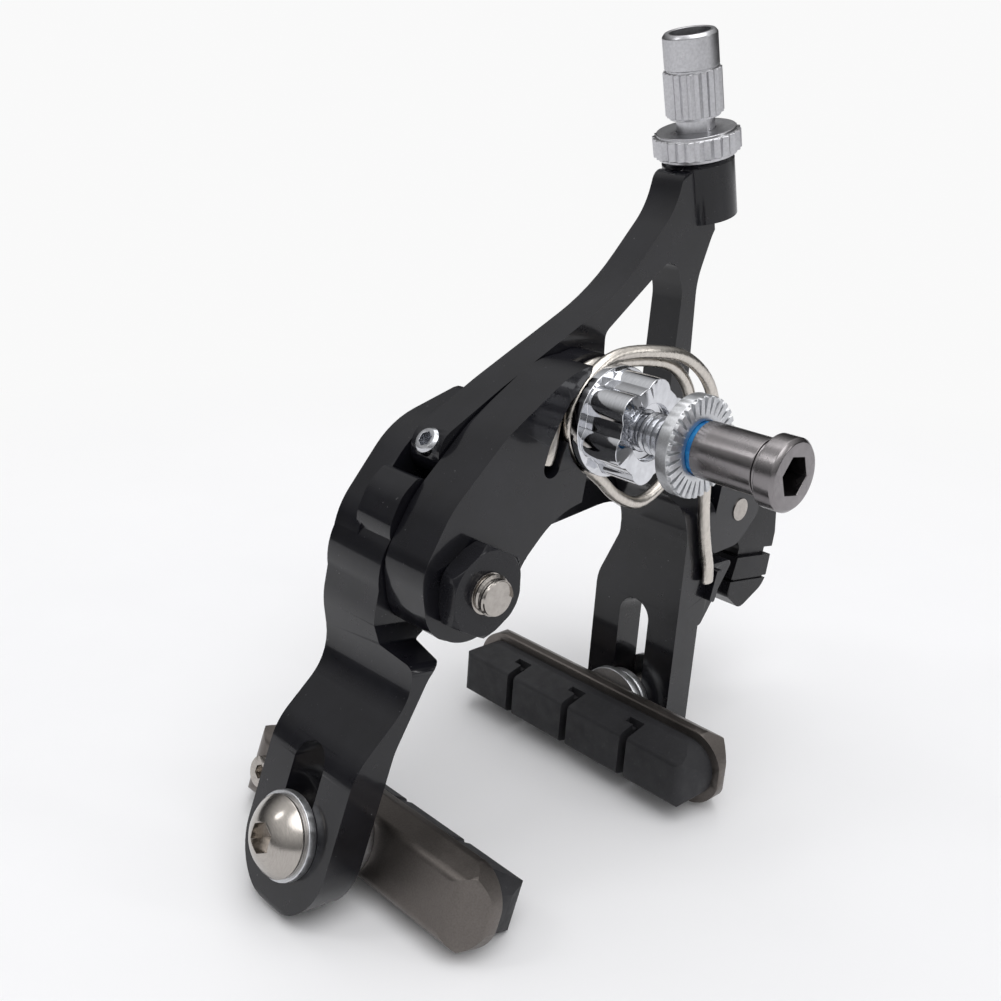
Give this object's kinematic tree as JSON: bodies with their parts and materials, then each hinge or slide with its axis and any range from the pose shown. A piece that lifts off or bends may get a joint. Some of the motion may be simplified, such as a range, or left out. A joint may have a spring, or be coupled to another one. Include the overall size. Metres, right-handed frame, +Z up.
{
  "type": "dual-pivot caliper brake",
  "caption": "Black dual-pivot caliper rim brake for a road bicycle, with a barrel adjuster, a quick-release lever, a return spring, cartridge shoes and a recessed frame bolt.",
  "frame": {"origin": "on the centre bolt's axis, at the rear face of the lobed nut that seats on the frame", "axes": "+Z up as mounted, +Y forward away from the frame along the centre bolt, +X towards the cable side"},
  "size_m": [0.1049, 0.0683, 0.13],
  "materials": {
    "black_paint": "gloss",
    "chrome": "polished",
    "bright_steel": "satin",
    "satin_steel": "satin",
    "zinc_steel": "matte",
    "black_steel": "satin",
    "blue_patch": "matte",
    "spring_wire": "satin",
    "brass": "satin",
    "grey_holder": "satin",
    "rubber": "matte",
    "black_lever": "satin",
    "bare_aluminium": "satin",
    "nickel_steel": "satin"
  },
  "bodies": {
    "bracket": {"bracket": "black_paint", "centre_bolt": "bright_steel", "lobed_seat_nut": "chrome", "serrated_washer": "zinc_steel", "sleeve_nut": "satin_steel", "thread_lock_patch": "blue_patch", "side_pivot_bolt": "nickel_steel", "side_pivot_nut": "black_steel", "return_spring": "spring_wire", "front_washer": "bright_steel", "front_nut": "bright_steel"},
    "y_arm": {"y_arm": "black_paint", "y_arm_bush": "brass", "centring_screw": "bright_steel"},
    "right_shoe": {"right_shoe_holder": "grey_holder", "right_brake_pad": "rubber", "right_pad_screw": "nickel_steel", "right_shoe_bolt": "nickel_steel", "right_shoe_washers": "zinc_steel"},
    "c_arm": {"c_arm": "black_paint", "c_arm_bush": "brass", "quick_release_axle": "nickel_steel"},
    "left_shoe": {"left_shoe_holder": "grey_holder", "left_brake_pad": "rubber", "left_pad_screw": "nickel_steel", "left_shoe_bolt": "nickel_steel", "left_shoe_washers": "zinc_steel"},
    "quick_release": {"quick_release_lever": "black_lever", "cable_clamp_plate": "bright_steel", "cable_clamp_bolt": "bright_steel"},
    "adjuster_ring": {"adjuster_ring": "bare_aluminium"},
    "adjuster_barrel": {"adjuster_barrel": "bare_aluminium"}
  },
  "joints": [
    {"name": "y_arm_pivot", "type": "hinge", "parent": "bracket", "child": "y_arm", "pos_m": [0, 0.0193, 0], "axis": [0, 1, 0], "range_deg": [0, 10], "stiffness_Nm_per_rad": 0.8, "springref_deg": -17.19, "deforming": ["return_spring"]},
    {"name": "c_arm_pivot", "type": "hinge", "parent": "bracket", "child": "c_arm", "pos_m": [-0.022, 0.0223, -0.0233], "axis": [0, -1, 0], "range_deg": [0, 12]},
    {"name": "right_shoe_height", "type": "slide", "parent": "y_arm", "child": "right_shoe", "axis": [-0.1392, 0, 0.9903], "range_m": [-0.001, 0.012]},
    {"name": "left_shoe_height", "type": "slide", "parent": "c_arm", "child": "left_shoe", "axis": [0.1736, 0, 0.9848], "range_m": [0, 0.009]},
    {"name": "quick_release_pivot", "type": "hinge", "parent": "c_arm", "child": "quick_release", "pos_m": [0.0418, 0.016, -0.016], "axis": [0, -1, 0], "range_deg": [0, 90]},
    {"name": "adjuster_ring_turn", "type": "hinge", "parent": "y_arm", "child": "adjuster_ring", "pos_m": [0.0232, 0.0193, 0.0401], "axis": [-0.4226, 0, 0.9063], "range_deg": [0, 1440]},
    {"name": "adjuster_barrel_rise", "type": "slide", "parent": "y_arm", "child": "adjuster_barrel", "axis": [-0.4226, 0, 0.9063], "range_m": [0, 0.004]}
  ],
  "couplings": [
    {"joint": "c_arm_pivot", "follows": "y_arm_pivot", "ratio": 1.2},
    {"joint": "adjuster_ring_turn", "follows": "adjuster_barrel_rise", "rad_per_m": 6283.2}
  ]
}
